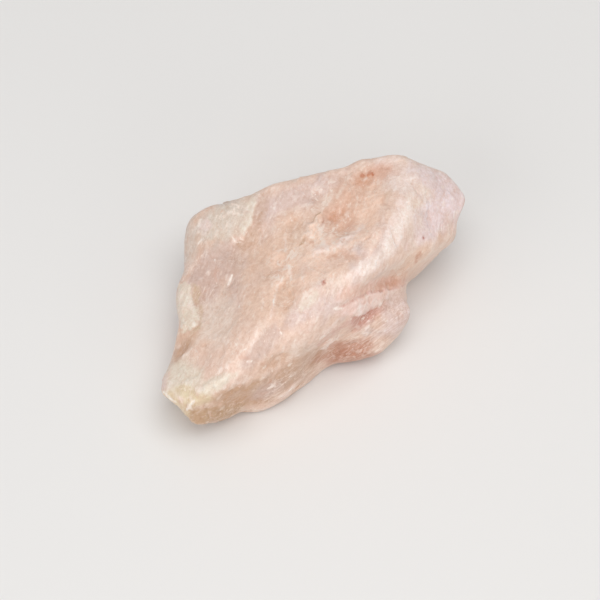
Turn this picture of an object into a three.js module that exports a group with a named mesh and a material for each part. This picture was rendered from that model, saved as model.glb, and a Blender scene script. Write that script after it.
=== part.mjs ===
// A rough chunk of massive rose quartz: one solid stone, about 70 mm long, broken on every side.
// It lies on its flattest face. Millimetres, +Z up, the length along X, and the origin under the
// middle of the stone on the face that it rests on.
//
// The form is laid out on the ground, as right, away and height above the base. What shows from the
// front and above is given in that slanting view instead, as right and up in the view and height
// above the base. Two blunt masses of broken faces are joined and chipped, worked over with hollows,
// ledges and scallop-shaped breaks, and trimmed to the outline that the slanting view shows.

import * as THREE from "three";
import { ConvexHull } from "three/addons/math/ConvexHull.js";
import { ImprovedNoise } from "three/addons/math/ImprovedNoise.js";

const DEGREE = Math.PI / 180;

// Driving dimensions
const SCALE = 1; // of the whole stone: at 1 it is about 70 mm long
const LOOK_DOWN = 55 * DEGREE; // how far below the horizon the slanting view looks
const LOOK_FROM = 500; // how far from the middle of the stone the slanting view is taken
const LENGTH_TURN = -42 * DEGREE; // turns the stone's length onto X, seen from above
const CELL = 1.4; // width of the cells in which the surface gets one point each

const down = { sin: Math.sin(LOOK_DOWN), cos: Math.cos(LOOK_DOWN) };

// A corner by its place in the slanting view, and one by its place on the ground
const seen = (right, up, height) =>
  new THREE.Vector3(right, (up - height * down.cos) / down.sin, height);
const ground = (right, away, height) => new THREE.Vector3(right, away, height);

// Right, up and toward in the slanting view, and back to the ground
const intoView = ({ x, y, z }) =>
  new THREE.Vector3(x, y * down.sin + z * down.cos, z * down.sin - y * down.cos);
const ontoGround = ({ x, y, z }) =>
  new THREE.Vector3(x, y * down.sin - z * down.cos, y * down.cos + z * down.sin);

// The middle of the stone
const MIDDLE = ground(1, -7.5, 12);

// The corners of the two masses
const BODY = [
  // the top's side of the broad crest, from the tip to the head
  seen(-23.4, -18.4, 16),
  seen(-15.8, -15.0, 21.8),
  seen(-10.6, -8.2, 25),
  seen(-0.8, 0.2, 28.6),
  seen(9, 5.6, 30.4),
  seen(14.4, 14.5, 30.2),
  seen(16.0, 24.7, 24.6),
  // the front's side of it
  seen(-22.4, -21.8, 13),
  seen(-14.2, -18.9, 18.4),
  seen(-8, -13, 21.8),
  seen(2.2, -5, 25.4),
  seen(12.4, 1.4, 26.8),
  seen(18.4, 12, 26.8),
  seen(19.8, 24, 22.6),
  // the back edge of the top, from the tip round to the head
  seen(-28, -18.2, 12.5),
  seen(-28, -19.4, 7.5),
  seen(-26.6, -20.6, 3),
  seen(-25.3, -1.9, 15.5),
  seen(-23.6, 11.3, 16.5),
  seen(-20.9, 14.6, 17),
  seen(-12.4, 17.7, 20),
  seen(-1.9, 21.7, 22.5),
  seen(6.7, 23.6, 23),
  seen(12.4, 24.9, 23.5),
  // the right end
  seen(25.3, 22.3, 20),
  seen(29.6, 16.5, 18),
  seen(29, 15.8, 12),
  seen(28, 10.5, 16),
  seen(22.8, 4.8, 14),
  seen(18.4, 0.8, 13.5),
  // the foot of the front
  seen(-19.9, -25.5, 6.5),
  seen(-13.3, -23.6, 5.5),
  seen(-4.8, -20.9, 6),
  seen(2.9, -15.2, 7),
  // the far wall
  ground(-23, 4.5, 8),
  ground(-6, 12, 12),
  ground(9, 16, 9),
  ground(20, 15, 8),
  ground(27, 11, 7),
  ground(19, 1, 3),
  // the face that it rests on
  ground(-19, -31, 0),
  ground(-10, -29.5, 0),
  ground(2, -22, 0),
  ground(10, -13, 0),
  ground(19, 2.5, 0),
  ground(23, 8, 0),
  ground(12, 14, 0),
  ground(-5, 9, 0),
  ground(-20, 1.5, 0),
  ground(-23, -12, 0),
];

const LOBE = [
  // the shelf
  seen(18.2, -1.2, 14),
  seen(10, -3.2, 19),
  seen(13.5, -5, 17),
  seen(4, -6, 23),
  // the front
  seen(19.1, -4.6, 11),
  seen(16.5, -9.3, 8),
  seen(12.7, -12.6, 6.5),
  seen(6.7, -14, 6.5),
  seen(3, -9, 18),
  // the underside and the root
  ground(15, -11, 0),
  ground(11, -17, 0),
  ground(4, -18.5, 0),
  ground(14, 0, 2),
  ground(-4, -12, 18),
];

// The outline in the slanting view: [right, up], anticlockwise from the right
const OUTLINE = [
  [18.1, 0.4],
  [21.6, 3.7],
  [22.8, 5.1],
  [26.6, 8.7],
  [27.9, 11.0],
  [28.0, 13.9],
  [29.3, 15.6],
  [29.4, 17.1],
  [27.9, 19.8],
  [25.4, 22.1],
  [22.4, 23.4],
  [16.3, 25.5],
  [12.7, 24.9],
  [9.5, 24.5],
  [6.7, 23.3],
  [1.1, 21.9],
  [-5.6, 20.5],
  [-12.4, 17.5],
  [-18.3, 15.8],
  [-21.3, 14.3],
  [-23.0, 12.5],
  [-23.7, 8.6],
  [-24.0, 3.2],
  [-25.3, -0.6],
  [-24.9, -7.4],
  [-25.5, -10.3],
  [-26.8, -14.8],
  [-28.3, -18.2],
  [-28.1, -19.5],
  [-25.5, -21.8],
  [-22.6, -24.9],
  [-20.4, -25.5],
  [-18.3, -25.3],
  [-14.1, -23.7],
  [-9.4, -23.1],
  [-4.8, -20.9],
  [0.8, -16.7],
  [3.8, -14.3],
  [6.7, -13.8],
  [12.7, -12.4],
  [16.5, -9.0],
  [18.9, -5.6],
  [19.0, -3.0],
  [18.2, -1.0],
];

// Hollows and, with a depth below 0, swellings of the side that shows: the place in the slanting
// view, the two half widths, the turn of the longer one from right to up, and the depth
const HOLLOWS = [
  { at: [7.6, 15.5], reach: [11, 6.5], turn: 60, depth: 1.9 }, // the broad hollow in the top
  { at: [-13, 8], reach: [14, 5], turn: 52, depth: 0.8 }, // the shallow trough across the top
  { at: [-2.9, 13.4], reach: [4.6, 2.2], turn: 45, depth: 0.8 }, // the dip left of the flake
  { at: [0.4, 11.6], reach: [5.5, 1.3], turn: 52, depth: -0.8 }, // the flake standing up
  { at: [5.1, 13.4], reach: [3.6, 2], turn: 20, depth: 0.7 }, // the reddish dip right of it
  { at: [4, 8.6], reach: [6, 1.3], turn: 22, depth: -0.6 }, // the rib below
  { at: [7.4, 6.3], reach: [5, 1.5], turn: -10, depth: 0.8 }, // the dip under the rib
  { at: [-5.5, 5.3], reach: [2.8, 2.2], turn: 30, depth: 0.6 }, // the small scoop
  { at: [-4.6, -3.2], reach: [6.5, 2.3], turn: 74, depth: 0.9 }, // the dip that runs down from it
  { at: [-17, -4], reach: [12, 4.5], turn: 80, depth: 0.7 }, // the left of the top
  { at: [2.8, -4.6], reach: [10, 2.6], turn: 34, depth: -0.8 }, // the bright shoulder
  { at: [12.4, 0.3], reach: [8.5, 1.9], turn: 16, depth: 1.6 }, // the undercut above the lobe
  { at: [11, -5.9], reach: [5, 1.5], turn: 30, depth: 0.5 }, // the upper dent of the lobe
  { at: [7.4, -10.4], reach: [7, 1.7], turn: 15, depth: 1.1 }, // the lower fold of the lobe
  { at: [-6.3, -13.6], reach: [4.4, 2], turn: 12, depth: 0.8 }, // the dip in the front
  { at: [-17.4, -17.6], reach: [5.5, 1.6], turn: 28, depth: -0.8 }, // the ridge near the tip
  { at: [-13.3, -20.6], reach: [9, 1.8], turn: 4, depth: 0.8 }, // the dip along the foot
  { at: [-24.5, -10.2], reach: [4, 3], turn: 60, depth: 1.1 }, // the dent above the tip
  { at: [20.5, 10], reach: [10, 4], turn: 60, depth: 0.6 }, // the flat of the right end
];

// Ledges of the side that shows: the surface drops to the right of the line, as it is walked along,
// and rises again over the reach
const LEDGES = [
  { along: [[-17, 7.4], [-14.4, 8.9], [-12.4, 10.8], [-11.2, 12.9], [-10.3, 16.5]], drop: 1.2, reach: 5 },
  { along: [[-21, -7.8], [-21.1, -3.8], [-21.7, -1], [-22.4, 1.3]], drop: 1, reach: 6 },
  { along: [[-7.3, -3.4], [-6.2, 1], [-3.4, 4.4]], drop: 0.9, reach: 4 },
  { along: [[-25, -13], [-22, -11.6], [-19, -9.5]], drop: 0.9, reach: 4 },
  { along: [[9, 21], [3, 17], [-1, 15.5]], drop: 0.8, reach: 4 },
  { along: [[20.4, 12], [21.8, 17.4], [21, 22.6]], drop: 0.5, reach: 5 },
  { along: [[7, -5.9], [10.3, -4.6], [12.9, -3.2], [16.6, -0.2]], drop: 1, reach: 4 },
  { along: [[2, -11.4], [5, -9.6], [9.4, -8.6], [13, -8.4]], drop: 0.7, reach: 4 },
];
const LEDGE_SLOPE = 0.8; // half of the width over which a ledge drops
const LEDGE_STEPS = 40; // points along each ledge's curve

// How sharply a hollow ends
const HOLLOW_EDGE = 1.5;

// Scallop-shaped breaks over the whole stone
const SCALLOPS = 120;
const SCALLOP_DRAW = 7; // where their drawing of numbers starts
const SCALLOP_REACH = [4, 11]; // half width, from the smallest to the largest
const SCALLOP_DEPTH = [0.05, 0.13]; // as a share of the half width, the shallowest and the deepest
const SCALLOPS_SHOWING = 0.5; // how much of their depth is left on the side that shows

// Flat chips off the sides that don't show: how many, and how much the least and the most take off
const CHIPS = 30;
const CHIP_DRAW = 11; // where their drawing of numbers starts
const CHIP_DEPTH = [0.8, 3.6];
const LOWEST_CHIP = -0.9; // the z of the steepest downward direction that a chip faces

// Slow and quick swells of the surface: the height and the length of each
const SWELLS = [
  { height: 0.8, length: 14 },
  { height: 0.5, length: 6.5 },
  { height: 0.25, length: 3.6 },
];

const EDGE_ROUND = 0.7; // how far an edge between two broken faces is worn in
const CREASE_ROUND = 3; // the reach of the rounding in the crease above the lobe
const CREASE_WIDTH = 4; // how far from the crease, in depth, its points are still evened out
const CREASE_EASINGS = 3; // times that they are, before the trims and after each one
const SCALLOP_ROUND = 0.35; // the same on the ridges between two scallops
const REST_WEAR = 1.1; // how much of the underside is worn flat to rest on

// Which way the surface faces in the slanting view's own direction where it starts to count as
// showing, and where it shows in full
const SHOWING = [0, 0.4];

const EASINGS = 18; // times that the points are spread out evenly over the form
const OUTWARD_EASINGS = 3; // times that the ways out at neighbouring points are evened out
const SHIFT_EASINGS = 3; // times that a trim's shifts of neighbouring points are evened out
const EASE = 0.5; // how far each of those goes towards its neighbours' mean
const OUTLINE_STEPS = 720;
const OWN_STEPS = 120; // of the stone's own outline, coarser because its points lie further apart

// The trims to the outline, one after the other: how far each point first goes towards its
// neighbours, the share of the way out at which the trim sets in, and the share of a turn over
// which it is evened out
const TRIMS = [
  { softening: 0.3, starts: 0.5, spread: 0.008 },
  { softening: 0.3, starts: 0.5, spread: 0.008 },
  { softening: 0.3, starts: 0.6, spread: 0.006 },
  { softening: 0.3, starts: 0.75, spread: 0.005 },
  { softening: 0.2, starts: 0.85, spread: 0.004 },
];

function smoothMin(a, b, reach) {
  const mixed = Math.max(reach - Math.abs(a - b), 0) / reach;
  return Math.min(a, b) - (mixed * mixed * reach) / 4;
}

const smoothMax = (a, b, reach) => -smoothMin(-a, -b, reach);

// The planes round a mass, as the hull of its corners
function planesOf(corners) {
  const hull = new ConvexHull().setFromPoints(corners);
  return hull.faces.map(({ normal, constant }) => ({ normal, distance: constant }));
}

// A repeatable draw of numbers from 0 to 1
function drawer(seed) {
  let state = seed;
  return () => {
    state = (state * 1664525 + 1013904223) % 4294967296;
    return state / 4294967296;
  };
}

// The planes of the chips, which face away from the slanting view
function chipPlanes() {
  const draw = drawer(CHIP_DRAW);
  const corners = [...BODY, ...LOBE];
  const planes = [];
  while (planes.length < CHIPS) {
    const normal = new THREE.Vector3(draw() - 0.5, draw() - 0.5, draw() - 0.5).normalize();
    const depth = THREE.MathUtils.lerp(...CHIP_DEPTH, draw());
    const distance = Math.max(...corners.map((corner) => corner.dot(normal))) - depth;
    if (intoView(normal).z < 0 && normal.z > LOWEST_CHIP) planes.push({ normal, distance });
  }
  return planes;
}

const body = planesOf(BODY);
const lobe = planesOf(LOBE);
const chips = chipPlanes();

// How deep a point lies within all of some planes, with their edges worn
function depthWithin(planes, point) {
  const depths = planes.map(({ normal, distance }) => distance - normal.dot(point));
  const least = Math.min(...depths);
  const sum = depths.reduce((total, depth) => total + Math.exp((least - depth) / EDGE_ROUND), 0);
  return least - EDGE_ROUND * Math.log(sum);
}

// How deep a point lies in the plain form: above 0 inside
function depthInForm(point) {
  const joined = smoothMax(depthWithin(body, point), depthWithin(lobe, point), CREASE_ROUND);
  return smoothMin(joined, depthWithin(chips, point), EDGE_ROUND);
}

// How near the crease between the two masses a point lies: 1 in it, and 0 far from it
function nearCrease(point) {
  const apart = Math.abs(depthWithin(body, point) - depthWithin(lobe, point));
  return 1 - THREE.MathUtils.smoothstep(apart, 0, CREASE_WIDTH);
}

const PROBE = 0.02; // how far beside a point the form is felt for its slope

// The direction in which the plain form thins out
function outwardAt(point) {
  const here = depthInForm(point);
  const slopes = ["x", "y", "z"].map((axis) => {
    const beside = point.clone();
    beside[axis] += PROBE;
    return here - depthInForm(beside);
  });
  return new THREE.Vector3(...slopes).normalize();
}

// Draws a point straight onto the plain form
function ontoForm(point) {
  const moved = point.clone();
  const outward = outwardAt(point);
  for (let i = 0; i < 2; i += 1) moved.addScaledVector(outward, depthInForm(moved));
  return moved;
}

// The eight corners of a cell, and its twelve edges as pairs of them
const CELL_CORNERS = [0, 1, 2, 3, 4, 5, 6, 7].map((n) => [n & 1, (n >> 1) & 1, n >> 2]);
const CELL_EDGES = [0, 1, 2, 3, 4, 5, 6, 7].flatMap((n) =>
  [1, 2, 4].filter((bit) => !(n & bit)).map((bit) => [n, n | bit]),
);

// A net over the plain form: one point in each cell that the surface crosses, and a pair of
// triangles across each grid edge that it crosses
function netOverForm() {
  const box = new THREE.Box3().setFromPoints([...BODY, ...LOBE]).expandByScalar(2 * CELL);
  const counts = box.getSize(new THREE.Vector3()).divideScalar(CELL).ceil().toArray();
  const placeAt = (steps) =>
    new THREE.Vector3(...steps).multiplyScalar(CELL).add(box.min);
  const keyOf = ([i, j, k]) => (k * (counts[1] + 1) + j) * (counts[0] + 1) + i;
  const grid = [];
  for (let k = 0; k <= counts[2]; k += 1) {
    for (let j = 0; j <= counts[1]; j += 1) {
      for (let i = 0; i <= counts[0]; i += 1) grid.push([i, j, k]);
    }
  }
  const depths = grid.map((steps) => depthInForm(placeAt(steps)));
  const inside = (steps) => depths[keyOf(steps)] > 0;
  const inGrid = grid.filter((steps) => steps.every((step, axis) => step < counts[axis]));

  const points = [];
  const pointOfCell = new Map();
  inGrid.forEach((steps) => {
    const corners = CELL_CORNERS.map((offset) => offset.map((value, axis) => value + steps[axis]));
    const crossings = CELL_EDGES.map((edge) => edge.map((n) => corners[n]))
      .filter(([a, b]) => inside(a) !== inside(b))
      .map(([a, b]) => {
        const share = depths[keyOf(a)] / (depths[keyOf(a)] - depths[keyOf(b)]);
        return placeAt(a).lerp(placeAt(b), share);
      });
    if (crossings.length === 0) return;
    const middle = crossings.reduce((sum, point) => sum.add(point), new THREE.Vector3());
    pointOfCell.set(keyOf(steps), points.length);
    points.push(middle.divideScalar(crossings.length));
  });

  const triangles = [];
  inGrid.forEach((steps) => {
    [0, 1, 2].forEach((axis) => {
      const beyond = steps.map((step, n) => step + (n === axis ? 1 : 0));
      if (inside(steps) === inside(beyond)) return;
      const [b, c] = [(axis + 1) % 3, (axis + 2) % 3];
      const around = [[0, 0], [1, 0], [1, 1], [0, 1]].map(([overB, overC]) => {
        const cell = [...steps];
        cell[b] -= overB;
        cell[c] -= overC;
        return pointOfCell.get(keyOf(cell));
      });
      if (!inside(steps)) around.reverse();
      const [p, q, r, s] = around;
      const shorter = points[p].distanceTo(points[r]) < points[q].distanceTo(points[s]);
      triangles.push(...(shorter ? [p, q, r, p, r, s] : [q, r, s, q, s, p]));
    });
  });
  return { points, triangles };
}

// For each point, the points that share a triangle with it
function neighboursOf(triangles, count) {
  const neighbours = Array.from({ length: count }, () => new Set());
  for (let i = 0; i < triangles.length; i += 3) {
    const corners = triangles.slice(i, i + 3);
    corners.forEach((a) => corners.forEach((b) => a !== b && neighbours[a].add(b)));
  }
  return neighbours.map((set) => [...set]);
}

// Moves each point towards the middle of its neighbours
function eased(points, neighbours, share) {
  return points.map((point, i) => {
    const middle = new THREE.Vector3();
    neighbours[i].forEach((j) => middle.add(points[j]));
    return point.clone().lerp(middle.divideScalar(neighbours[i].length), share);
  });
}

// The depth of the hollows at a place in the slanting view
function hollowDepth(right, up) {
  return HOLLOWS.map(({ at, reach, turn, depth }) => {
    const [x, y] = [right - at[0], up - at[1]];
    const along = (x * Math.cos(turn * DEGREE) + y * Math.sin(turn * DEGREE)) / reach[0];
    const across = (-x * Math.sin(turn * DEGREE) + y * Math.cos(turn * DEGREE)) / reach[1];
    return depth * Math.exp(-HOLLOW_EDGE * (along * along + across * across));
  }).reduce((a, b) => a + b);
}

const ledges = LEDGES.map(({ along, drop, reach }) => ({
  points: new THREE.SplineCurve(along.map(([x, y]) => new THREE.Vector2(x, y))).getPoints(LEDGE_STEPS),
  drop,
  reach,
}));

// The depth of the ledges at a place in the slanting view
function ledgeDepth(right, up) {
  const here = new THREE.Vector2(right, up);
  return ledges.map(({ points, drop, reach }) => {
    const nearest = points.reduce((best, point, i) => {
      const distance = point.distanceTo(here);
      return distance < best.distance ? { distance, i } : best;
    }, { distance: Infinity, i: 0 });
    const from = points[Math.max(nearest.i - 1, 0)];
    const to = points[Math.min(nearest.i + 1, points.length - 1)];
    const side = Math.sign((to.x - from.x) * (up - from.y) - (to.y - from.y) * (right - from.x));
    const aside = -side * nearest.distance;
    const past = THREE.MathUtils.smoothstep(aside, -LEDGE_SLOPE, LEDGE_SLOPE);
    const taper = Math.sqrt(Math.sin((Math.PI * (nearest.i + 0.5)) / points.length));
    return drop * past * taper * Math.exp(-Math.max(aside, 0) / reach);
  }).reduce((a, b) => a + b);
}

// Scallops with their middles on the stone
function makeScallops(points) {
  const draw = drawer(SCALLOP_DRAW);
  return Array.from({ length: SCALLOPS }, () => {
    const at = points[Math.floor(draw() * points.length)].clone();
    const reach = THREE.MathUtils.lerp(...SCALLOP_REACH, draw() ** 2);
    return { at, reach, depth: reach * THREE.MathUtils.lerp(...SCALLOP_DEPTH, draw()) };
  });
}

const scallopDepth = (scallops, point) =>
  scallops.reduce((deepest, { at, reach, depth }) => {
    const here = depth * (1 - point.distanceToSquared(at) / (reach * reach));
    return here < -SCALLOP_ROUND ? deepest : smoothMax(deepest, here, SCALLOP_ROUND);
  }, 0);

const noise = new ImprovedNoise();
const swell = ({ x, y, z }) =>
  SWELLS.map(({ height, length }) => height * noise.noise(x / length, y / length, z / length))
    .reduce((a, b) => a + b);

// Works the breaks into the plain form
function broken(points, neighbours) {
  const scallops = makeScallops(points);
  let ways = points.map(outwardAt);
  for (let i = 0; i < OUTWARD_EASINGS; i += 1) ways = eased(ways, neighbours, EASE);
  return points.map((point, i) => {
    const outward = ways[i].normalize();
    const { x, y } = intoView(point);
    const shows = THREE.MathUtils.smoothstep(intoView(outward).z, ...SHOWING);
    const scallop = scallopDepth(scallops, point) * THREE.MathUtils.lerp(1, SCALLOPS_SHOWING, shows);
    const depth = shows * (hollowDepth(x, y) + ledgeDepth(x, y)) + scallop - swell(point);
    return point.clone().addScaledVector(outward, -depth);
  });
}

const viewMiddle = intoView(MIDDLE);
const turnOf = ({ x, y }) =>
  (Math.atan2(y - viewMiddle.y, x - viewMiddle.x) / (2 * Math.PI) + 1) % 1;
const radiusOf = ({ x, y, z }) =>
  (Math.hypot(x - viewMiddle.x, y - viewMiddle.y) * LOOK_FROM) / (LOOK_FROM + viewMiddle.z - z);

// The radius of an outline by the share of a turn, read between its outermost points
function radiusTable(points, steps) {
  const outermost = new Map();
  points.forEach((point) => {
    const entry = { turn: turnOf(point), radius: radiusOf(point) };
    const bin = Math.floor(entry.turn * steps);
    if (!(outermost.get(bin)?.radius > entry.radius)) outermost.set(bin, entry);
  });
  const once = [...outermost.values()].sort((a, b) => a.turn - b.turn);
  const last = once.at(-1);
  const table = [{ ...last, turn: last.turn - 1 }, ...once, { ...once[0], turn: once[0].turn + 1 }];
  return (turn) => {
    const next = table.findIndex((entry) => entry.turn > turn);
    const [before, after] = [table[next - 1], table[next]];
    const share = (turn - before.turn) / (after.turn - before.turn);
    return THREE.MathUtils.lerp(before.radius, after.radius, share);
  };
}

const outlineCurve = new THREE.CatmullRomCurve3(
  OUTLINE.map(([right, up]) => new THREE.Vector3(right, up, viewMiddle.z)),
  true,
  "centripetal",
);
const outlineRadius = radiusTable(outlineCurve.getPoints(OUTLINE_STEPS * 4), OUTLINE_STEPS);

// Draws points in or out in the view, so that the stone's own outline falls on the given one
function trimmed(points, neighbours, starts, spread) {
  const views = points.map(intoView);
  const ownRadius = radiusTable(views, OWN_STEPS);
  const gainTo = (turn) => {
    const turns = [-1, 0, 1].map((side) => (turn + side * spread + 1) % 1);
    return turns.map((t) => outlineRadius(t) / ownRadius(t)).reduce((a, b) => a + b) / turns.length;
  };
  let shifts = views.map((view) => {
    const turn = turnOf(view);
    const share = Math.min(radiusOf(view) / ownRadius(turn), 1);
    const near = THREE.MathUtils.smoothstep(share, starts, 1);
    const gain = near * (gainTo(turn) - 1);
    const right = (view.x - viewMiddle.x) * gain;
    const up = (view.y - viewMiddle.y) * gain;
    return ontoGround(new THREE.Vector3(right, up, 0));
  });
  for (let i = 0; i < SHIFT_EASINGS; i += 1) shifts = eased(shifts, neighbours, EASE);
  return points.map((point, i) => point.clone().add(shifts[i]));
}

function stoneGeometry() {
  const net = netOverForm();
  const neighbours = neighboursOf(net.triangles, net.points.length);
  let points = net.points.map(ontoForm);
  for (let i = 0; i < EASINGS; i += 1) points = eased(points, neighbours, EASE).map(ontoForm);
  const inCrease = points.map(nearCrease);
  const easeCrease = () => {
    for (let i = 0; i < CREASE_EASINGS; i += 1) {
      const even = eased(points, neighbours, EASE);
      points = points.map((point, n) => point.clone().lerp(even[n], inCrease[n]));
    }
  };
  points = broken(points, neighbours);
  easeCrease();
  TRIMS.forEach(({ softening, starts, spread }) => {
    points = trimmed(eased(points, neighbours, softening), neighbours, starts, spread);
    easeCrease();
  });
  const floor = Math.min(...points.map(({ z }) => z)) + REST_WEAR;
  points.forEach((point) => point.setZ(Math.max(point.z, floor)));
  const geometry = new THREE.BufferGeometry().setFromPoints(points).setIndex(net.triangles);
  geometry.rotateZ(LENGTH_TURN).scale(SCALE, SCALE, SCALE);
  geometry.computeBoundingBox();
  const centre = geometry.boundingBox.getCenter(new THREE.Vector3());
  geometry.translate(-centre.x, -centre.y, -geometry.boundingBox.min.z);
  return geometry;
}

const quartz = new THREE.MeshStandardMaterial({ color: 0xdcc0b1, roughness: 0.45, metalness: 0 });
const chunk = new THREE.Mesh(stoneGeometry(), quartz);
chunk.name = "rose_quartz_chunk";

const stone = new THREE.Group();
stone.add(chunk);

export default stone;
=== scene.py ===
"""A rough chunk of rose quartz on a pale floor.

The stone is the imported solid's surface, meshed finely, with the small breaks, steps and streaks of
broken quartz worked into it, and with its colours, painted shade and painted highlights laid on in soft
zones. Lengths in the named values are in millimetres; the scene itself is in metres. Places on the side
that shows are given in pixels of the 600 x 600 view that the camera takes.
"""

import math

import bpy
import numpy as np
from mathutils import Matrix, Vector


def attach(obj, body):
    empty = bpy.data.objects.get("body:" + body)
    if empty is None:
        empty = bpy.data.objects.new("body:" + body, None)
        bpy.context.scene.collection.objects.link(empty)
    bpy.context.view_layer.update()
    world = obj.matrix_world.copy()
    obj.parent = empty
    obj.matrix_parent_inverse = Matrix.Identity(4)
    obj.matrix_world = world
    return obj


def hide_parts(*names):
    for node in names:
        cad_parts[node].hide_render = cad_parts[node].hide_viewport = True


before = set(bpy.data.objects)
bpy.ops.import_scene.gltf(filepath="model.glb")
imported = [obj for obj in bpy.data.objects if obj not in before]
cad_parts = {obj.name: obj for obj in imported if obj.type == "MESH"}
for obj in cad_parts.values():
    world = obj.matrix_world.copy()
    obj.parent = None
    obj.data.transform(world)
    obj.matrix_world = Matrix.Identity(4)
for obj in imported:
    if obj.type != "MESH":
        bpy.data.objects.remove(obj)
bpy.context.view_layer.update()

MM = 0.001


def rows(columns, *entries):
    """A table: for each entry, its values by the names of their columns."""
    return [dict(zip(columns.split(), entry)) for entry in entries]


def named(columns, **entries):
    """A table whose entries are looked up by name."""
    return {name: dict(zip(columns.split(), entry)) for name, entry in entries.items()}


# The camera
AZIMUTH = math.radians(-42)
ELEVATION = math.radians(55)
DISTANCE = 0.5
LENS = 158.0
SENSOR = 36.0
VIEW_SIZE = 600.0
VIEW_BOX = (160.5, 155.5, 465.5, 424.0)  # where the stone lies in the view: left, top, right, bottom
VIEW_FITTINGS = 30  # rounds that bring the stone into that box
FOCAL = LENS / SENSOR * VIEW_SIZE  # in pixels
CLIP = (0.01, 20.0)  # metres

TOWARD = np.array(
    [
        math.sin(AZIMUTH) * math.cos(ELEVATION),
        -math.cos(AZIMUTH) * math.cos(ELEVATION),
        math.sin(ELEVATION),
    ]
)
RIGHT = np.array([math.cos(AZIMUTH), math.sin(AZIMUTH), 0.0])
UP = np.cross(TOWARD, RIGHT)

# The fine mesh
VOXEL = 0.28  # mm between points
WELD = 0.01  # mm within which the solid's points are joined
SMOOTHINGS = 6  # rounds that take the solid's flat triangles out
NORMAL_SMOOTHINGS = 4  # rounds that even out the directions in which points move
LEVEL_SMOOTHINGS = 20  # rounds that give the level against which a place is a hollow

# The sides of the stone, by how far a point faces the camera: 1 straight at it, 0 at the outline
SHOWS = (-0.3, 0.05)  # where patches and marks set in
ROUND_THE_EDGE = (-0.65, -0.2)  # where zones of colour set in and the rougher faces behind end
FACES_THE_VIEW = (0.0, 0.35)  # where steps and lumps set in
GROUNDED = (0.15, 1.2)  # mm above the floor over which the relief sets in

# What the repeatable random numbers are mixed with
CELL_FACTORS = (73856093, 19349663, 83492791)
SEED_FACTOR = 2654435761
NUMBER_STEP = 374761393
MIXES = ((15, 2246822519), (13, 3266489917))
LAST_SHIFT = 16
LOW_BITS = 0xFFFFFFFF
NOISE_GAIN = 1.6  # brings gradient noise to about -1 to 1
NUMBERS_SEED = 50  # added to a seed for the numbers beside the first three
TURN_SEED = 90
TINY = 1e-9  # keeps a length of 0 from dividing
FAR = 1e9

# How noise bends the relief's own places, in mm
BENDS = [{"length": 5.0, "pull": 0.9, "seed": 31}, {"length": 1.4, "pull": 0.3, "seed": 34}]

# Scars where chips came off, from large to small: the lattice they are scattered on and their depth, in
# mm, the share of the lattice's cells that holds one, and how much longer than wide they are
SCARS = rows(
    "lattice depth share longer seed",
    (9.0, 0.34, 0.50, 1.5, 3),
    (4.6, 0.20, 0.45, 1.8, 5),
    (2.3, 0.09, 0.45, 2.2, 8),
)
SCAR_REACH = (0.45, 0.95)  # of the lattice
SCAR_MIDDLE = 0.6  # a scar's depth in its middle, and how much it deepens towards one end
SCAR_LEAN = 0.8
SCAR_LEANS = (-0.6, 1)  # of its reach, from one end to the other
SCAR_SHALLOWEST = 0.4  # the depth of the shallowest scar, as a share of the deepest

# Waviness: how long and wide its waves are and how high, in mm
WAVES = rows(
    "length width height seed",
    (9.0, 3.2, 0.11, 11),
    (4.0, 1.5, 0.04, 12),
    (1.8, 0.9, 0.012, 13),
)
# Streaks along the grain, how much lighter they are, and the patches in which they stand out
STREAKS = {"length": 5.0, "width": 0.8, "height": 0.03, "shade": 0.03, "seed": 21}
STREAKY_PATCHES = {"size": 8.0, "from": -0.3, "to": 0.4, "seed": 22}

# Broken faces: their size in mm, how far they tilt on the side that shows and behind it, how much lighter
# or darker they are, and how much longer than wide
FACES = rows(
    "size tilt behind shade longer seed",
    (8.0, 0.0, 0.10, 0.0, 1.3, 91),
    (3.4, 0.04, 0.11, 0.010, 1.6, 81),
    (1.5, 0.03, 0.09, 0.012, 1.8, 84),
)
FACE_DEPTH = 1.3  # how much deeper than wide a face's cell is
TOP_GRAIN = 72.0  # degrees from right to up in the view, the way the streaks run on the top
FRONT_GRAIN = 38.0  # and on the front

HOLLOW_DEPTH = 0.12  # mm below its surroundings at which a place counts as a hollow

# The line below which the front starts, in view pixels
FRONT_SLOPE = 0.75
FRONT_STARTS = (575, 605)

# Steps on the side that shows: a line in view pixels, how far the surface drops to the right of it as
# the line is walked along, in mm, and the reach over which it rises again, in pixels
STEPS = rows(
    "name drop reach along",
    ("facet edge", 0.28, 14, [(233, 243), (244, 236), (251, 225), (254, 206), (259, 197)]),
    ("cream patch edge", 0.30, 12, [(187, 329), (198, 319), (196, 304), (191, 301), (189, 283)]),
    ("scoop's rim", 0.24, 12, [(271, 304), (277, 288), (288, 274), (291, 262)]),
    ("standing flake", 0.26, 12, [(294, 246), (303, 238), (314, 226), (323, 211)]),
    ("rib", 0.22, 16, [(308, 257), (335, 247), (350, 242)]),
    ("streak", 0.18, 5, [(226, 285), (230, 280), (233, 273)]),
    ("crease", -0.45, 12, [(334, 310), (352, 303), (372, 292), (390, 289), (406, 285)]),
    ("shelf", 0.42, 16, [(350, 318), (364, 314), (378, 307), (396, 292)]),
    ("lobe fold", 0.28, 8, [(318, 353), (328, 345), (338, 339)]),
    ("lobe foot", 0.15, 14, [(330, 344), (352, 338), (372, 335)]),
    ("right end", 0.18, 16, [(432, 262), (430, 232), (427, 195), (420, 168)]),
    ("tip's edge", 0.2, 6, [(184, 398), (193, 398), (197, 404)]),
    ("left notch", -0.3, 12, [(176, 360), (184, 352), (190, 344)]),
)
STEP_WIDTH = 1.1  # pixels over which a step drops
STEP_EDGE = 2.5  # pixels within which a place is on a step's edge
STEP_ENDS = (0.01, 0.99)  # of the way along a step, where it tapers out
LUMP_FADE = (0.2, 1.15)  # of the way out in a lump's ellipse, where it ends

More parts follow.
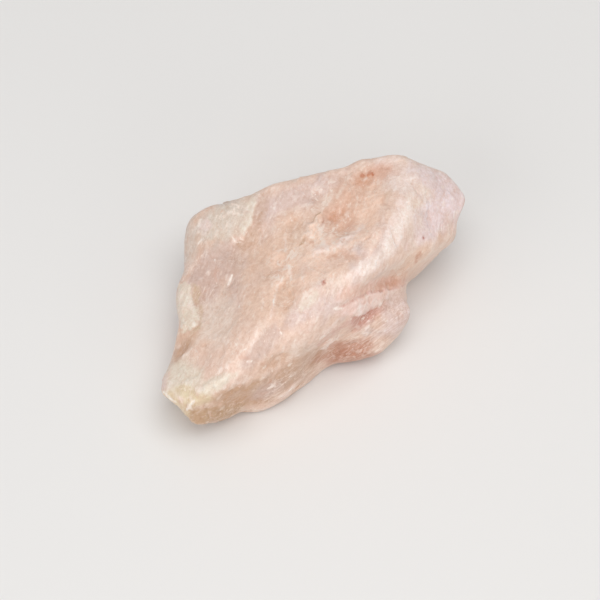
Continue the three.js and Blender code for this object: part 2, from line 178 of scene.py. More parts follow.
# The crease under the crest, where the solid's surface is evened out
CREASE = [(330, 313), (352, 300), (372, 292), (390, 287), (410, 283)]
CREASE_REACH = 9.0  # pixels
CREASE_SMOOTHINGS = 40
CREASE_CALM = 0.7  # the share of the relief that is left out there

# Small rises and dips: the middle, half widths and turn of an ellipse in view pixels, and mm of height
LUMPS = rows(
    "name at reach turn height",
    ("standing flake", (312, 228), (17, 6), 55, 0.34),
    ("left of the flake", (296, 223), (13, 8), 50, -0.3),
    ("reddish dip", (334, 218), (11, 7), 20, -0.36),
    ("second flake", (344, 238), (12, 4), 32, 0.26),
    ("below the rib", (345, 255), (24, 6), -4, -0.12),
    ("scoop", (281, 263), (11, 9), 30, -0.22),
    ("right of the rim", (289, 300), (20, 7), 74, -0.26),
    ("dark of the lobe", (364, 320), (17, 6), 32, -0.4),
    ("shelf", (360, 308), (18, 4), 28, 0.3),
    ("glint", (367, 331), (8, 4), 8, 0.3),
    ("foot of the lobe", (349, 349), (24, 8), 6, -0.3),
    ("fold", (328, 344), (12, 3), 36, 0.3),
    ("under the crest", (386, 282), (20, 5), 16, -0.3),
    ("dip of the front", (277, 362), (20, 7), 26, -0.36),
    ("ridge to the tip", (214, 384), (22, 6), 32, 0.42),
    ("hollow of the tip", (187, 391), (8, 5), -20, -0.12),
    ("chip of the tip", (192, 403), (8, 3), 46, 0.26),
    ("left notch", (181, 350), (12, 5), 48, -0.35),
)

# How far noise pulls the borders of steps, lumps and patches about, in pixels
FRAYING = [{"length": 1.7, "pull": 3.0, "seed": 61}, {"length": 0.7, "pull": 1.3, "seed": 71}]
MARK_FRAYING = 0.4  # the share of it that pulls the marks

# The stone's colours in sRGB: pinks, pale ones, warm ones and browns
PINK = (228, 198, 181)
BLUSH = (240, 206, 194)
SHELL = (240, 219, 210)
MAUVE = (218, 193, 184)
DUSKY = (202, 174, 162)
LILAC = (229, 208, 206)
ROSE = (204, 152, 138)
BRICK = (184, 128, 104)
MILKY = (244, 228, 217)
IVORY = (226, 212, 195)
CREAM = (232, 211, 197)
PUTTY = (214, 199, 184)
STONE_GREY = (203, 188, 177)
FLECK = (250, 240, 231)
PALE_PEACH = (245, 212, 192)
PEACH = (229, 195, 173)
APRICOT = (218, 174, 150)
RUST = (208, 153, 124)
STAIN = (184, 104, 62)
DARK_RED = (166, 60, 26)
STRAW = (214, 193, 158)
TAN = (218, 182, 158)
BUFF = (204, 178, 147)
SAND = (198, 162, 138)
UMBER = (194, 154, 123)
OCHRE = (182, 145, 110)

SHADE_POWERS = np.array([0.6, 1.0, 1.3])  # red, green and blue: what is darker is warmer too

# Noises that lay the colours: an even one and one streaked along the grain, with the share of each
NOISES = named(
    "even size seed streaked length width streak_seed",
    slow=(1.0, 13.0, 41, 0.5, 7.0, 2.5, 42),
    other=(1.0, 10.0, 43, 0.5, 5.0, 2.0, 44),
    borders=(0.22, 4.0, 45, 0.20, 3.0, 1.2, 46),
    wisps=(0.6, 1.1, 54, 1.0, 2.6, 0.9, 53),
)

# Tones all round the stone: the noise, whether its high or low places take the tone, and how strongly
TONES = rows(
    "colour noise side from to cover",
    (MAUVE, "slow", 1, 0.05, 0.6, 1.0),
    (CREAM, "slow", -1, 0.1, 0.6, 1.0),
    (TAN, "other", 1, 0.2, 0.8, 0.8),
)
WISPS = {"colour": MILKY, "from": 0.45, "to": 0.75, "cover": 0.4}

# Lighter or darker places: veils along the grain, painted shade in hollows, painted highlight on step edges
VEILS = [
    {"length": 3.2, "width": 1.1, "shade": 0.05, "seed": 48},
    {"length": 1.4, "width": 0.6, "shade": 0.05, "seed": 49},
]
HOLLOW_SHADE = 0.07
HOLLOW_SHADE_WARMTH = np.array([0.0, 0.03, 0.05])  # of red, green and blue, taken away in a hollow
EDGE_SHADE = 0.05

ZONE_FADE = (0.45, 1.2)  # of the way out in a zone's ellipse, where it ends
MARK_FADE = (0.2, 1.5)  # of a mark's width
MARK_ENDS = 0.45  # a mark's width at its ends, as a share of its full width
MOTTLING = [{"size": 0.9, "height": 0.35, "seed": 51}, {"size": 0.45, "height": 0.3, "seed": 52}]
MOTTLING_MEAN = 0.8  # how strongly patches and marks cover, before it is mottled

# Soft zones of colour on the side that shows, a few of them painted light and shade: the middle, half
# widths and turn of an ellipse in view pixels, the colour, and how strongly it covers
ZONES = rows(
    "name at reach turn colour cover",
    ("left of the top", (215, 275), (50, 30), 70, DUSKY, 0.85),
    ("middle of the top", (270, 275), (70, 36), 62, PEACH, 0.7),
    ("top edge", (300, 195), (60, 14), 22, MAUVE, 0.8),
    ("round the facet", (220, 222), (38, 22), 36, STONE_GREY, 0.85),
    ("hollow", (352, 208), (46, 27), 58, APRICOT, 0.75),
    ("lower hollow", (325, 250), (40, 16), 24, PALE_PEACH, 0.7),
    ("top right", (400, 178), (34, 20), -24, SHELL, 0.8),
    # Painted highlight along the crest, in these two zones
    ("crest", (396, 228), (36, 11), 70, SHELL, 0.9),
    ("lower crest", (366, 266), (24, 10), 36, SHELL, 0.9),
    ("right end", (438, 210), (46, 20), 62, LILAC, 0.95),
    ("bright shoulder", (316, 310), (36, 17), 32, MAUVE, 0.9),
    ("pink of the shoulder", (300, 335), (36, 10), 34, PINK, 0.7),
    ("under the crest", (372, 288), (38, 9), 14, BLUSH, 0.9),
    # Painted shade at the end of the crease
    ("end of the crease", (394, 283), (14, 4), 16, ROSE, 0.6),
    ("shelf", (362, 305), (30, 8), 24, BLUSH, 0.9),
    ("right of the lobe", (398, 315), (20, 28), 0, MAUVE, 0.9),
    # Painted shade in the dip of the lobe, under the shelf
    ("dark of the lobe", (366, 318), (24, 9), 32, ROSE, 0.9),
    ("foot of the lobe", (346, 349), (32, 10), 8, BRICK, 0.75),
    ("front", (295, 370), (44, 16), 36, SAND, 0.9),
    ("dip of the front", (275, 362), (24, 8), 24, TAN, 0.8),
    ("lower front", (245, 396), (46, 13), 10, UMBER, 0.9),
    ("mauve of the front", (268, 391), (22, 9), 22, DUSKY, 0.8),
    ("lower middle", (235, 345), (36, 24), 60, PINK, 0.8),
    ("ridge to the tip", (214, 384), (22, 8), 32, IVORY, 0.9),
    ("tip", (184, 378), (22, 24), 30, IVORY, 0.95),
    ("yellow of the tip", (186, 392), (13, 7), -14, STRAW, 0.75),
    ("below the yellow", (197, 401), (18, 8), 14, STRAW, 0.75),
    ("left notch", (181, 350), (16, 7), 50, SAND, 0.95),
    ("foot of the tip", (208, 416), (44, 13), 4, OCHRE, 0.85),
    ("edge of the lobe's foot", (350, 358), (40, 8), 4, BRICK, 0.85),
    ("haze of the stain", (374, 175), (26, 11), 16, RUST, 0.6),
    # Painted light: these two slopes are made paler where the lamps leave them darker
    ("right slope of the hollow", (366, 215), (40, 12), 70, PALE_PEACH, 0.8),
    ("left slope", (218, 318), (34, 20), 74, CREAM, 0.8),
    ("under the right end", (416, 260), (28, 10), 42, PEACH, 0.8),
    ("top of the right end", (430, 178), (28, 12), -40, LILAC, 0.8),
    ("above the foot", (325, 333), (24, 8), 30, PINK, 0.8),
    ("far right", (456, 205), (14, 26), 0, LILAC, 0.85),
    ("ridge of the front", (264, 344), (40, 10), 46, DUSKY, 0.7),
    ("lower right of the hollow", (371, 238), (20, 11), 62, PALE_PEACH, 0.7),
    ("left edge", (189, 240), (34, 10), 88, STONE_GREY, 0.7),
    ("left edge of the tip", (174, 403), (20, 8), -42, STRAW, 0.8),
    ("below the hollow", (330, 268), (40, 9), 22, PALE_PEACH, 0.7),
)

# Patches with a crisp border, a few of them painted shade: a polygon in view pixels, and the pixels
# over which the border fades
PATCHES = rows(
    "name colour cover fade corners",
    ("facet of the top left", PUTTY, 0.7, 2.4,
     [(200, 226), (212, 212), (236, 199), (258, 192), (258, 199), (254, 206), (252, 219), (250, 228),
      (244, 236), (236, 235), (226, 240), (206, 240)]),
    ("right of the facet", IVORY, 0.7, 1.4,
     [(254, 198), (257, 205), (252, 225), (244, 236), (239, 233), (245, 219), (248, 206)]),
    ("white of the facet", LILAC, 0.6, 2.6, [(200, 221), (208, 217), (213, 226), (205, 234), (199, 230)]),
    ("cream patch", IVORY, 0.95, 1.0,
     [(176, 284), (182, 281), (190, 284), (192, 296), (193, 304), (199, 305), (200, 319), (193, 327),
      (185, 333), (182, 330), (177, 320), (174, 302)]),
    # Painted shadow beside the raised edge of the cream patch
    ("beside the patch", BUFF, 0.7, 1.6,
     [(191, 283), (199, 286), (203, 316), (199, 330), (190, 334), (200, 320), (200, 305), (193, 302)]),
    # Painted shadow on the low side of the facet's edge
    ("beside the facet", SAND, 0.7, 3.0,
     [(262, 195), (268, 200), (262, 222), (254, 240), (242, 252), (236, 246), (246, 237), (253, 224),
      (256, 206)]),
    ("pale middle", PALE_PEACH, 0.6, 2.0,
     [(264, 256), (274, 251), (286, 253), (290, 265), (290, 277), (282, 272), (270, 268)]),
    ("standing flake", PALE_PEACH, 0.8, 1.2,
     [(309, 240), (311, 228), (313, 219), (319, 213), (323, 213), (322, 222), (320, 228), (324, 236),
      (318, 240)]),
    ("foot of the flake", PEACH, 0.7, 1.4, [(292, 248), (298, 240), (306, 236), (312, 240), (304, 246)]),
    ("second flake", SHELL, 0.8, 1.4,
     [(336, 246), (341, 239), (349, 234), (357, 227), (364, 222), (366, 226), (359, 232), (352, 240),
      (343, 246)]),
    ("below the flakes", SHELL, 0.7, 2.2,
     [(311, 254), (316, 246), (325, 243), (330, 247), (326, 254), (317, 256)]),
    ("pale of the shoulder", IVORY, 0.65, 3.0,
     [(296, 310), (303, 297), (316, 290), (321, 294), (314, 304), (302, 314)]),
    # Painted shade under the overhang, just above the crease
    ("above the crease", APRICOT, 0.6, 2.6,
     [(336, 299), (348, 289), (370, 284), (390, 277), (406, 269), (409, 279), (404, 285), (386, 289),
      (366, 293), (352, 299)]),
    ("left blot of the shelf", SHELL, 0.75, 1.6,
     [(351, 312), (357, 305), (365, 303), (368, 309), (360, 315)]),
    ("right blot of the shelf", SHELL, 0.7, 1.6,
     [(366, 305), (372, 299), (382, 297), (381, 303), (372, 308)]),
    ("glint of the lobe", MAUVE, 0.8, 1.2, [(361, 333), (366, 328), (373, 330), (378, 333), (370, 336)]),
    ("ridge of the tip", IVORY, 0.65, 2.2,
     [(205, 395), (209, 386), (219, 377), (235, 371), (238, 375), (226, 384), (214, 394)]),
)

# Marks: lines of another colour in view pixels; some are painted shade and painted highlights
MARKS = rows(
    "name width colour cover along",
    # Painted highlight: a pale line along the crest
    ("crest", 7.0, MILKY, 0.6, [(412, 194), (406, 214), (396, 234), (387, 249), (376, 262), (362, 273)]),
    ("stain", 2.6, STAIN, 0.95, [(361, 176), (364, 175)]),
    ("stain's right blot", 2.0, STAIN, 0.95, [(368, 175), (371, 173), (373, 176)]),
    ("stain's trail", 4.5, APRICOT, 0.3, [(376, 172), (392, 167)]),
    ("below the stain", 3.0, RUST, 0.6, [(354, 184), (362, 181)]),
    ("left of the stain", 2.2, CREAM, 0.7, [(336, 199), (343, 187), (351, 169)]),
    ("reddish dip", 6.0, RUST, 0.5, [(326, 222), (334, 217), (342, 212)]),
    ("dip below the rib", 5.0, APRICOT, 0.6, [(328, 256), (343, 254), (360, 259)]),
    ("brown of the flake", 1.8, UMBER, 0.9, [(299, 245), (304, 239)]),
    ("left edge of the flake", 0.9, OCHRE, 0.8, [(312, 222), (315, 216), (320, 211)]),
    ("right edge of the flake", 0.9, BRICK, 0.8, [(323, 216), (323, 222), (321, 228)]),
    ("rim of the scoop", 1.6, MILKY, 0.85, [(282, 277), (277, 288), (273, 305)]),
    ("rim of the scoop below", 1.3, SHELL, 0.6, [(273, 305), (270, 318)]),
    ("right of the middle", 1.5, MILKY, 0.8, [(288, 264), (291, 279)]),
    ("above the middle", 1.5, SHELL, 0.75, [(285, 240), (285, 251)]),
    ("top ridge", 1.8, CREAM, 0.7, [(272, 217), (280, 213), (291, 211), (302, 205)]),
    ("second top ridge", 2.6, CREAM, 0.6, [(274, 226), (271, 234)]),
    ("streak", 1.3, FLECK, 0.95, [(226, 285), (229, 281), (232, 274)]),
    ("streak of the facet", 1.5, MILKY, 0.6, [(220, 219), (230, 213), (239, 214)]),
    ("left glint of the facet", 1.2, FLECK, 0.7, [(198, 244), (202, 240)]),
    ("glint of the facet", 1.2, FLECK, 0.75, [(233, 236), (235, 242)]),
    # Painted shadow below the facet's edge
    ("dark below the facet", 1.6, SAND, 0.7, [(237, 245), (241, 238)]),
    ("left dip", 9.0, TAN, 0.6, [(290, 214), (299, 228)]),
    ("right dip", 7.0, TAN, 0.6, [(290, 285), (285, 305), (280, 325)]),
    ("orange streak", 3.0, STAIN, 0.6, [(416, 262), (421, 252)]),
    ("red speck", 3.0, DARK_RED, 1.0, [(323, 282), (325, 283)]),
    ("dark speck", 2.2, DARK_RED, 0.9, [(423, 237), (423, 239)]),
    # Painted shade in the crease and at its end
    ("crease", 1.2, ROSE, 0.6,
     [(338, 308), (350, 303), (356, 298), (370, 292), (386, 290), (398, 288), (406, 284)]),
    ("brown end of the crease", 2.4, RUST, 0.4, [(388, 285), (402, 281)]),
    ("left of the crease", 1.6, MILKY, 0.8, [(333, 309), (342, 308)]),
    # Painted shade under the shelf and in the dip of the lobe
    ("under the shelf", 1.4, ROSE, 0.5, [(350, 318), (362, 316), (374, 311), (384, 306)]),
    ("left dark of the lobe", 3.4, ROSE, 0.4, [(352, 323), (362, 320)]),
    ("right dark of the lobe", 3.0, ROSE, 0.4, [(366, 325), (376, 320)]),
    ("lit edge above the fold", 2.4, SHELL, 0.7, [(320, 339), (329, 330), (338, 321)]),
    # Painted shade in the valley of the fold, and a painted highlight on the fold's edge
    ("valley of the fold", 3.4, ROSE, 0.55, [(318, 346), (332, 334), (348, 322)]),
    ("fold of the lobe", 1.6, SHELL, 0.7, [(318, 352), (328, 344), (336, 339)]),
    ("chip of the tip", 1.8, FLECK, 0.9, [(187, 410), (191, 405), (196, 401)]),
    ("beside the chip", 1.2, BUFF, 0.7, [(191, 409), (198, 403)]),
    # Painted highlight along the tip's edge
    ("edge of the tip", 1.3, FLECK, 0.8, [(162, 392), (168, 396), (176, 401)]),
    ("left fleck of the front", 1.1, FLECK, 0.9, [(246, 362), (252, 361)]),
    ("fleck of the front", 1.1, FLECK, 0.9, [(263, 368), (267, 366)]),
    ("right fleck of the front", 1.1, FLECK, 0.9, [(288, 366), (292, 363)]),
    ("lower fleck of the front", 1.2, MILKY, 0.8, [(268, 389), (274, 385)]),
    ("streak of the front", 1.2, SHELL, 0.6, [(283, 397), (295, 386), (306, 378)]),
    ("lower streak of the front", 1.2, CREAM, 0.6, [(262, 402), (276, 394)]),
    ("left streak of the front", 1.4, PEACH, 0.5, [(244, 382), (262, 377)]),
    ("upper speck", 1.0, FLECK, 0.9, [(214, 259), (215, 260)]),
    ("middle speck", 1.1, FLECK, 0.9, [(238, 305), (238, 307)]),
    ("right speck", 1.1, FLECK, 0.9, [(280, 331), (281, 333)]),
    ("lower speck", 1.3, FLECK, 0.9, [(234, 345), (237, 343)]),
    ("low speck", 1.1, FLECK, 0.8, [(244, 350), (246, 349)]),
)

# Where the surface is broken up into small pale flakes
FLAKY = rows(
    "name at reach turn",
    ("flakes of the middle", (332, 236), (46, 20), 18),
    ("left of them", (284, 262), (30, 18), 60),
    ("edge of the facet", (238, 236), (14, 10), 30),
    ("inside the facet", (228, 214), (30, 14), 30),
    ("top edge", (320, 196), (36, 12), 40),
    ("front", (282, 378), (36, 20), 36),
    ("lobe", (364, 316), (26, 14), 30),
    ("fold", (326, 342), (24, 12), 40),
    ("under the crest", (392, 274), (20, 8), 24),
    ("tip", (190, 392), (20, 20), 0),
    ("shoulder", (306, 300), (22, 14), 40),
)
FLAKY_FADE = (0.3, 1.1)  # of the way out in its ellipse, where it ends

# The shader's textures along the grain, with their length and width in mm
GRAINS = named(
    "length width detail roughness",
    coarse=(3.0, 0.9, 4.0, 0.6),
    fine=(0.9, 0.35, 4.0, 0.6),
    flecks=(0.9, 0.32, 2.0, 0.6),
    lines=(4.5, 0.7, 1.5, 0.5),
    drawn=(4.5, 0.32, 3.0, 0.6),
)
DRAWN_TURN = FRONT_GRAIN - 4  # the way the drawn streaks of the front run

# The shader's even textures: how many features there are to the metre, and how much they are bent
SPOTS = named(
    "scale detail roughness bent",
    grain=(1500.0, 4.0, 0.6, 0.0),
    sugar=(3600.0, 3.0, 0.7, 0.0),
    spread=(260.0, 2.0, 0.5, 0.0),
    milky=(480.0, 6.0, 0.62, 1.2),
    warm=(330.0, 6.0, 0.62, 0.8),
    pale_flakes=(620.0, 6.0, 0.65, 0.4),
    dark_flakes=(520.0, 6.0, 0.65, 0.4),
)
FACE_SIZE = 0.55  # mm across the shader's small tilted faces
FACE_RUFFLES = 2.0  # how many bends their borders have in that
CENTRE = (0.5, 0.5, 0.5)  # of random colours

# The values of a texture over which what it lays sets in
SETS_IN = {
    "milky": (0.53, 0.70),
    "warm": (0.55, 0.75),
    "flecks": (0.66, 0.72),
    "pale_flakes": (0.54, 0.60),
    "dark_flakes": (0.58, 0.68),
    "lines": (0.46, 0.5),
    "on_top": (0.48, 0.60),
    "on_front": (0.38, 0.52),
}

# What is laid over the stone's colour, one on the other, and how much it covers at most
COVERS = {
    "warm": (RUST, 0.25),
    "milky": (MILKY, 0.25),
    "wisps": (MILKY, 0.4),
    "flecks": (FLECK, 0.5),
    "dark_flakes": (RUST, 0.4),
    "pale_flakes": (MILKY, 0.65),
}

# How much lighter or darker each texture makes the colour
SHADES = {"coarse": 0.05, "fine": 0.06, "grain": 0.08, "sugar": 0.06}
DRAWN_SHADE = 0.2
TEXTURE_RANGE = (0.25, 0.75)  # the values of a texture from its darkest to its lightest

# How far each texture stands out, in mm
BUMPS = {"coarse": 0.04, "faces": 0.05, "fine": 0.025, "wisps": 0.03, "milky": 0.03, "grain": 0.012}

# Where the surface turns away from the eye it is paler: a painted rim of light
RIM_LIGHT_FACING = (0.55, 1.0)
RIM_LIGHT_COVER = 0.45

# How the stone takes light
ROUGHNESS = (0.42, 0.58)
ROUGHNESS_RANGE = (0.3, 0.7)  # of the fine grain
GLOSS = {
    "Specular IOR Level": 0.4,
    "IOR": 1.54,
    "Subsurface Weight": 0.2,
    "Subsurface Radius": (1.0, 0.8, 0.7),
    "Subsurface Scale": 0.0009,
}

# The floor and the lights: where each light stands from the stone, in metres
FLOOR_HALF = 3.0
FLOOR_COLOUR = (0.78, 0.77, 0.76, 1)
FLOOR_ROUGHNESS = 0.8
LIGHTS = rows(
    "name toward up right size power colour",
    ("key", 0.6, 0.3, 0.08, 0.6, 2.8, (1.0, 0.99, 0.975)),
    ("fill", 0.5, -0.3, -0.45, 0.7, 2.1, (0.99, 0.99, 1.0)),
    ("front fill", 0.4, -0.5, 0.4, 0.7, 1.8, (1.0, 0.99, 0.98)),
)
WORLD_COLOUR = (1, 1, 1, 1)
WORLD_STRENGTH = 0.42


def hashed(cell, seed):
    """Three repeatable numbers from 0 to 1 for each lattice cell."""
    places = cell.astype(np.int64) * CELL_FACTORS
    mixed = (places[..., 0] ^ places[..., 1] ^ places[..., 2]) + seed * SEED_FACTOR
    numbers = []
    for k in range(3):
        number = (mixed + k * NUMBER_STEP) & LOW_BITS
        for shift, factor in MIXES:
            number = ((number ^ (number >> shift)) * factor) & LOW_BITS
        numbers.append((number ^ (number >> LAST_SHIFT)) / float(LOW_BITS))
    return np.stack(numbers, -1)


def noise(points, seed):
    """Gradient noise, about -1 to 1, at a lattice of 1."""
    base = np.floor(points)
    inside = points - base
    ease = inside**3 * (inside * (inside * 6 - 15) + 10)
    total = np.zeros(len(points))
    for corner in np.ndindex(2, 2, 2):
        offset = np.array(corner, float)
        slope = hashed(base + offset, seed) * 2 - 1
        weight = np.prod(np.where(offset > 0, ease, 1 - ease), axis=1)
        total += weight * np.einsum("ij,ij->i", slope, inside - offset)
    return total * NOISE_GAIN


def scar_depth(points, scars):
    """How deep the deepest scar at each point is, in mm. A scar is deepest near one end and fades out at
    the other, as a conchoidal break does."""
    places = points / scars["lattice"]
    base = np.floor(places)
    deepest = np.zeros(len(points))
    low, high = SCAR_REACH
    for corner in np.ndindex(3, 3, 3):
        cell = base + np.array(corner, float) - 1
        away = places - cell - hashed(cell, scars["seed"])
        numbers = hashed(cell, scars["seed"] + NUMBERS_SEED)
        turn = hashed(cell, scars["seed"] + TURN_SEED) * 2 - 1
        turn /= np.linalg.norm(turn, axis=1)[:, None] + TINY
        along = np.einsum("ij,ij->i", away, turn)
        aside = np.sqrt(np.maximum(np.einsum("ij,ij->i", away, away) - along**2, 0))
        reach = low + (high - low) * numbers[:, 0]
        out = np.hypot(along / reach, aside / reach * scars["longer"])
        lean = SCAR_MIDDLE + SCAR_LEAN * np.clip(along / reach, *SCAR_LEANS)
        share = SCAR_SHALLOWEST + (1 - SCAR_SHALLOWEST) * numbers[:, 1]
        depth = scars["depth"] * share * np.maximum(1 - out**2, 0) * lean
        deepest = np.where(numbers[:, 2] < scars["share"], np.maximum(deepest, depth), deepest)
    return deepest


def nearest_face(places, seed):
    """The random numbers of the scattered middle that is nearest each place, and the way from it."""
    base = np.floor(places)
    nearest = np.full(len(places), FAR)
    numbers = np.zeros((len(places), 3))
    away = np.zeros((len(places), 3))
    for corner in np.ndindex(3, 3, 3):
        cell = base + np.array(corner, float) - 1
        way = places - cell - hashed(cell, seed)
        distance = np.einsum("ij,ij->i", way, way)
        closer = distance < nearest
        nearest[closer] = distance[closer]
        numbers[closer] = hashed(cell[closer], seed + NUMBERS_SEED)
        away[closer] = way[closer]
    return numbers, away


def smoothstep(x, low, high):
    t = np.clip((x - low) / (high - low), 0, 1)
    return t * t * (3 - 2 * t)


def fine_mesh(node):
    """A new object with the node's surface, remeshed evenly."""
    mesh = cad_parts[node].data.copy()
    stone = bpy.data.objects.new("stone", mesh)
    bpy.context.scene.collection.objects.link(stone)
    weld = stone.modifiers.new("weld", "WELD")
    weld.merge_threshold = WELD * MM
    remesh = stone.modifiers.new("remesh", "REMESH")
    remesh.mode = "VOXEL"
    remesh.voxel_size = VOXEL * MM
    graph = bpy.context.evaluated_depsgraph_get()
    fine = bpy.data.meshes.new_from_object(stone.evaluated_get(graph))
    stone.modifiers.clear()
    stone.data = fine
    bpy.data.meshes.remove(mesh)
    return stone


def values_of(items, name, width, kind=float):
    """What each of a mesh's points or edges holds under a name, a row for each."""
    flat = np.zeros(len(items) * width, kind)
    items.foreach_get(name, flat)
    return flat.reshape(-1, width)


def write_points(mesh, points):
    mesh.vertices.foreach_set("co", points.astype(np.float32).ravel())
    mesh.update()


def blurred(values, edges, rounds):
    """Each point's value drawn towards the mean of its neighbours'."""
    out = np.array(values, float)
    flat = out.reshape(len(out), -1)
    ends = np.concatenate([edges, edges[:, ::-1]])
    count = np.bincount(ends[:, 0], minlength=len(flat))[:, None]
    for _ in range(rounds):
        total = np.stack(
            [
                np.bincount(ends[:, 0], weights=flat[ends[:, 1], k], minlength=len(flat))
                for k in range(flat.shape[1])
            ],
            1,
        )
        flat = 0.5 * flat + 0.5 * total / count
    return flat.reshape(out.shape)


def fitted_target(points):
    """The point that the camera looks at, and its distance, so that the stone fills its box in the view."""
    target = points.mean(axis=0)
    distance = DISTANCE
    left, top, right, bottom = VIEW_BOX
    for _ in range(VIEW_FITTINGS):
        x, y = in_view(points, target, distance)
        scale = (np.ptp(x) + np.ptp(y)) / (right - left + bottom - top)
        distance *= scale
        across = ((x.min() + x.max()) - (left + right)) / 2
        along = ((y.min() + y.max()) - (top + bottom)) / 2
        target = target + (RIGHT * across - UP * along) * distance / FOCAL
    return target, distance


def in_view(points, target, distance):
    """Where points fall in the view, in pixels from its top left corner."""
    from_target = points - target
    depth = distance - from_target @ TOWARD
    x = VIEW_SIZE / 2 + FOCAL * (from_target @ RIGHT) / depth
    y = VIEW_SIZE / 2 - FOCAL * (from_target @ UP) / depth
    return x, y


def frayed(x, y, mm):
    """View pixels pulled about by noise, so that what is drawn with them has ragged borders."""
    for fray in FRAYING:
        x = x + fray["pull"] * noise(mm / fray["length"], fray["seed"])
        y = y + fray["pull"] * noise(mm / fray["length"], fray["seed"] + 1)
    return x, y


def near_line(x, y, line):
    """How far each point is from a line in pixels, more than 0 on its right, and its share of the way."""
    line = np.array(line, float)
    lengths = np.linalg.norm(np.diff(line, axis=0), axis=1)
    passed = np.concatenate([[0], np.cumsum(lengths)])
    nearest = np.full(len(x), 1e9)
    side = np.ones(len(x))
    share = np.zeros(len(x))
    for i, start in enumerate(line[:-1]):
        way = line[i + 1] - start
        across = np.stack([x - start[0], y - start[1]], 1)
        t = np.clip(across @ way / (way @ way), 0, 1)
        distance = np.linalg.norm(across - t[:, None] * way, axis=1)
        closer = distance < nearest
        nearest = np.where(closer, distance, nearest)
        turn = np.sign(way[0] * across[:, 1] - way[1] * across[:, 0])
        side = np.where(closer, turn, side)
        share = np.where(closer, (passed[i] + t * lengths[i]) / passed[-1], share)
    return side * nearest, share


def ellipse(x, y, shape):
    """How far out in an ellipse points lie: 1 at its edge."""
    angle = math.radians(shape["turn"])
    across = x - shape["at"][0]
    above = shape["at"][1] - y
    along = across * math.cos(angle) + above * math.sin(angle)
    beside = -across * math.sin(angle) + above * math.cos(angle)
    return np.hypot(along / shape["reach"][0], beside / shape["reach"][1])


def inside(x, y, corners):
    """How far inside a polygon points lie, in pixels, less than 0 outside it."""
    corners = np.array(corners, float)
    nearest = np.full(len(x), 1e9)
    within = np.zeros(len(x), bool)
    for start, end in zip(corners, np.roll(corners, -1, axis=0)):
        distance, _ = near_line(x, y, [start, end])
        nearest = np.minimum(nearest, np.abs(distance))
        passes = (start[1] > y) != (end[1] > y)
        rise = end[1] - start[1] if end[1] != start[1] else TINY
        within ^= passes & (x < start[0] + (end[0] - start[0]) * (y - start[1]) / rise)
    return np.where(within, nearest, -nearest)


def details(x, y):
    """The height of the steps and lumps at view pixels, in mm, and how near a step's edge each one is."""
    height = np.zeros(len(x))
    edge = np.zeros(len(x))
    for step in STEPS:
        aside, share = near_line(x, y, step["along"])
        taper = np.sqrt(np.sin(np.pi * np.clip(share, *STEP_ENDS)))
        past = smoothstep(aside, -STEP_WIDTH, STEP_WIDTH)
        height -= step["drop"] * taper * past * np.exp(-np.maximum(aside, 0) / step["reach"])
        edge = np.maximum(edge, taper * np.exp(-((aside / STEP_EDGE) ** 2)))
    for lump in LUMPS:
        height += lump["height"] * (1 - smoothstep(ellipse(x, y, lump), *LUMP_FADE))
    return height, edge


def turned(mm, turn):
    """Points along and across a direction in the view's plane, turned from right to up, and toward it."""
    angle = math.radians(turn)
    right = mm @ RIGHT
    up = mm @ UP
    along = right * math.cos(angle) + up * math.sin(angle)
    across = -right * math.sin(angle) + up * math.cos(angle)
    return np.stack([along, across, mm @ TOWARD], 1)


def streaked(mm, turn, length, width, seed):
    """Noise drawn out along a direction in the view's plane."""
    return noise(turned(mm, turn) / (length, width, 2 * width), seed)


def grained(mm, front, length, width, seed):
    """Streaked noise that follows the top's grain and, on the front, the front's."""
    top = streaked(mm, TOP_GRAIN, length, width, seed)
    return top + front * (streaked(mm, FRONT_GRAIN, length, width, seed) - top)


def relief(mm, front, round_the_edge):
    """How far each point moves out along its normal, in mm, and how light it is for its face and streak."""
    bent = mm.copy()
    for bend in BENDS:
        pulls = [noise(mm / bend["length"], bend["seed"] + k) for k in range(3)]
        bent += bend["pull"] * np.stack(pulls, 1)
    height = np.zeros(len(mm))
    light = np.ones(len(mm))
    for scars in SCARS:
        height -= scar_depth(bent, scars)
    for wave in WAVES:
        height += wave["height"] * grained(bent, front, wave["length"], wave["width"], wave["seed"])
    places = np.where(front[:, None] > 0.5, turned(bent, FRONT_GRAIN), turned(bent, TOP_GRAIN))
    for face in FACES:
        stretch = face["size"] * np.array([face["longer"], 1.0, FACE_DEPTH])
        numbers, away = nearest_face(places / stretch, face["seed"])
        tilt = face["behind"] + round_the_edge * (face["tilt"] - face["behind"])
        height += tilt * face["size"] * np.einsum("ij,ij->i", 2 * numbers - 1, away)
        light += face["shade"] * (2 * numbers[:, 0] - 1)
    streaks = grained(mm, front, STREAKS["length"], STREAKS["width"], STREAKS["seed"])
    patches = STREAKY_PATCHES
    patchy = smoothstep(noise(mm / patches["size"], patches["seed"]), patches["from"], patches["to"])
    height += STREAKS["height"] * streaks * patchy
    return height, light + STREAKS["shade"] * streaks


def from_srgb(colour):
    c = np.array(colour, float) / 255
    return np.where(c <= 0.04045, c / 12.92, ((c + 0.055) / 1.055) ** 2.4)


def laid_noise(mm, front, name):
    """One of the noises that lay the colours."""
    mix = NOISES[name]
    even = noise(mm / mix["size"], mix["seed"])
    streaked_one = grained(mm, front, mix["length"], mix["width"], mix["streak_seed"])
    return mix["even"] * even + mix["streaked"] * streaked_one


def lay(colour, srgb, cover):
    """Lays an sRGB colour over each point's linear one."""
    colour += cover[:, None] * (from_srgb(srgb) - colour)


def lay_zones(colour, x, y, soft, round_the_edge):
    for zone in ZONES:
        within = 1 - smoothstep(ellipse(x, y, zone) + soft, *ZONE_FADE)
        lay(colour, zone["colour"], zone["cover"] * round_the_edge * within)


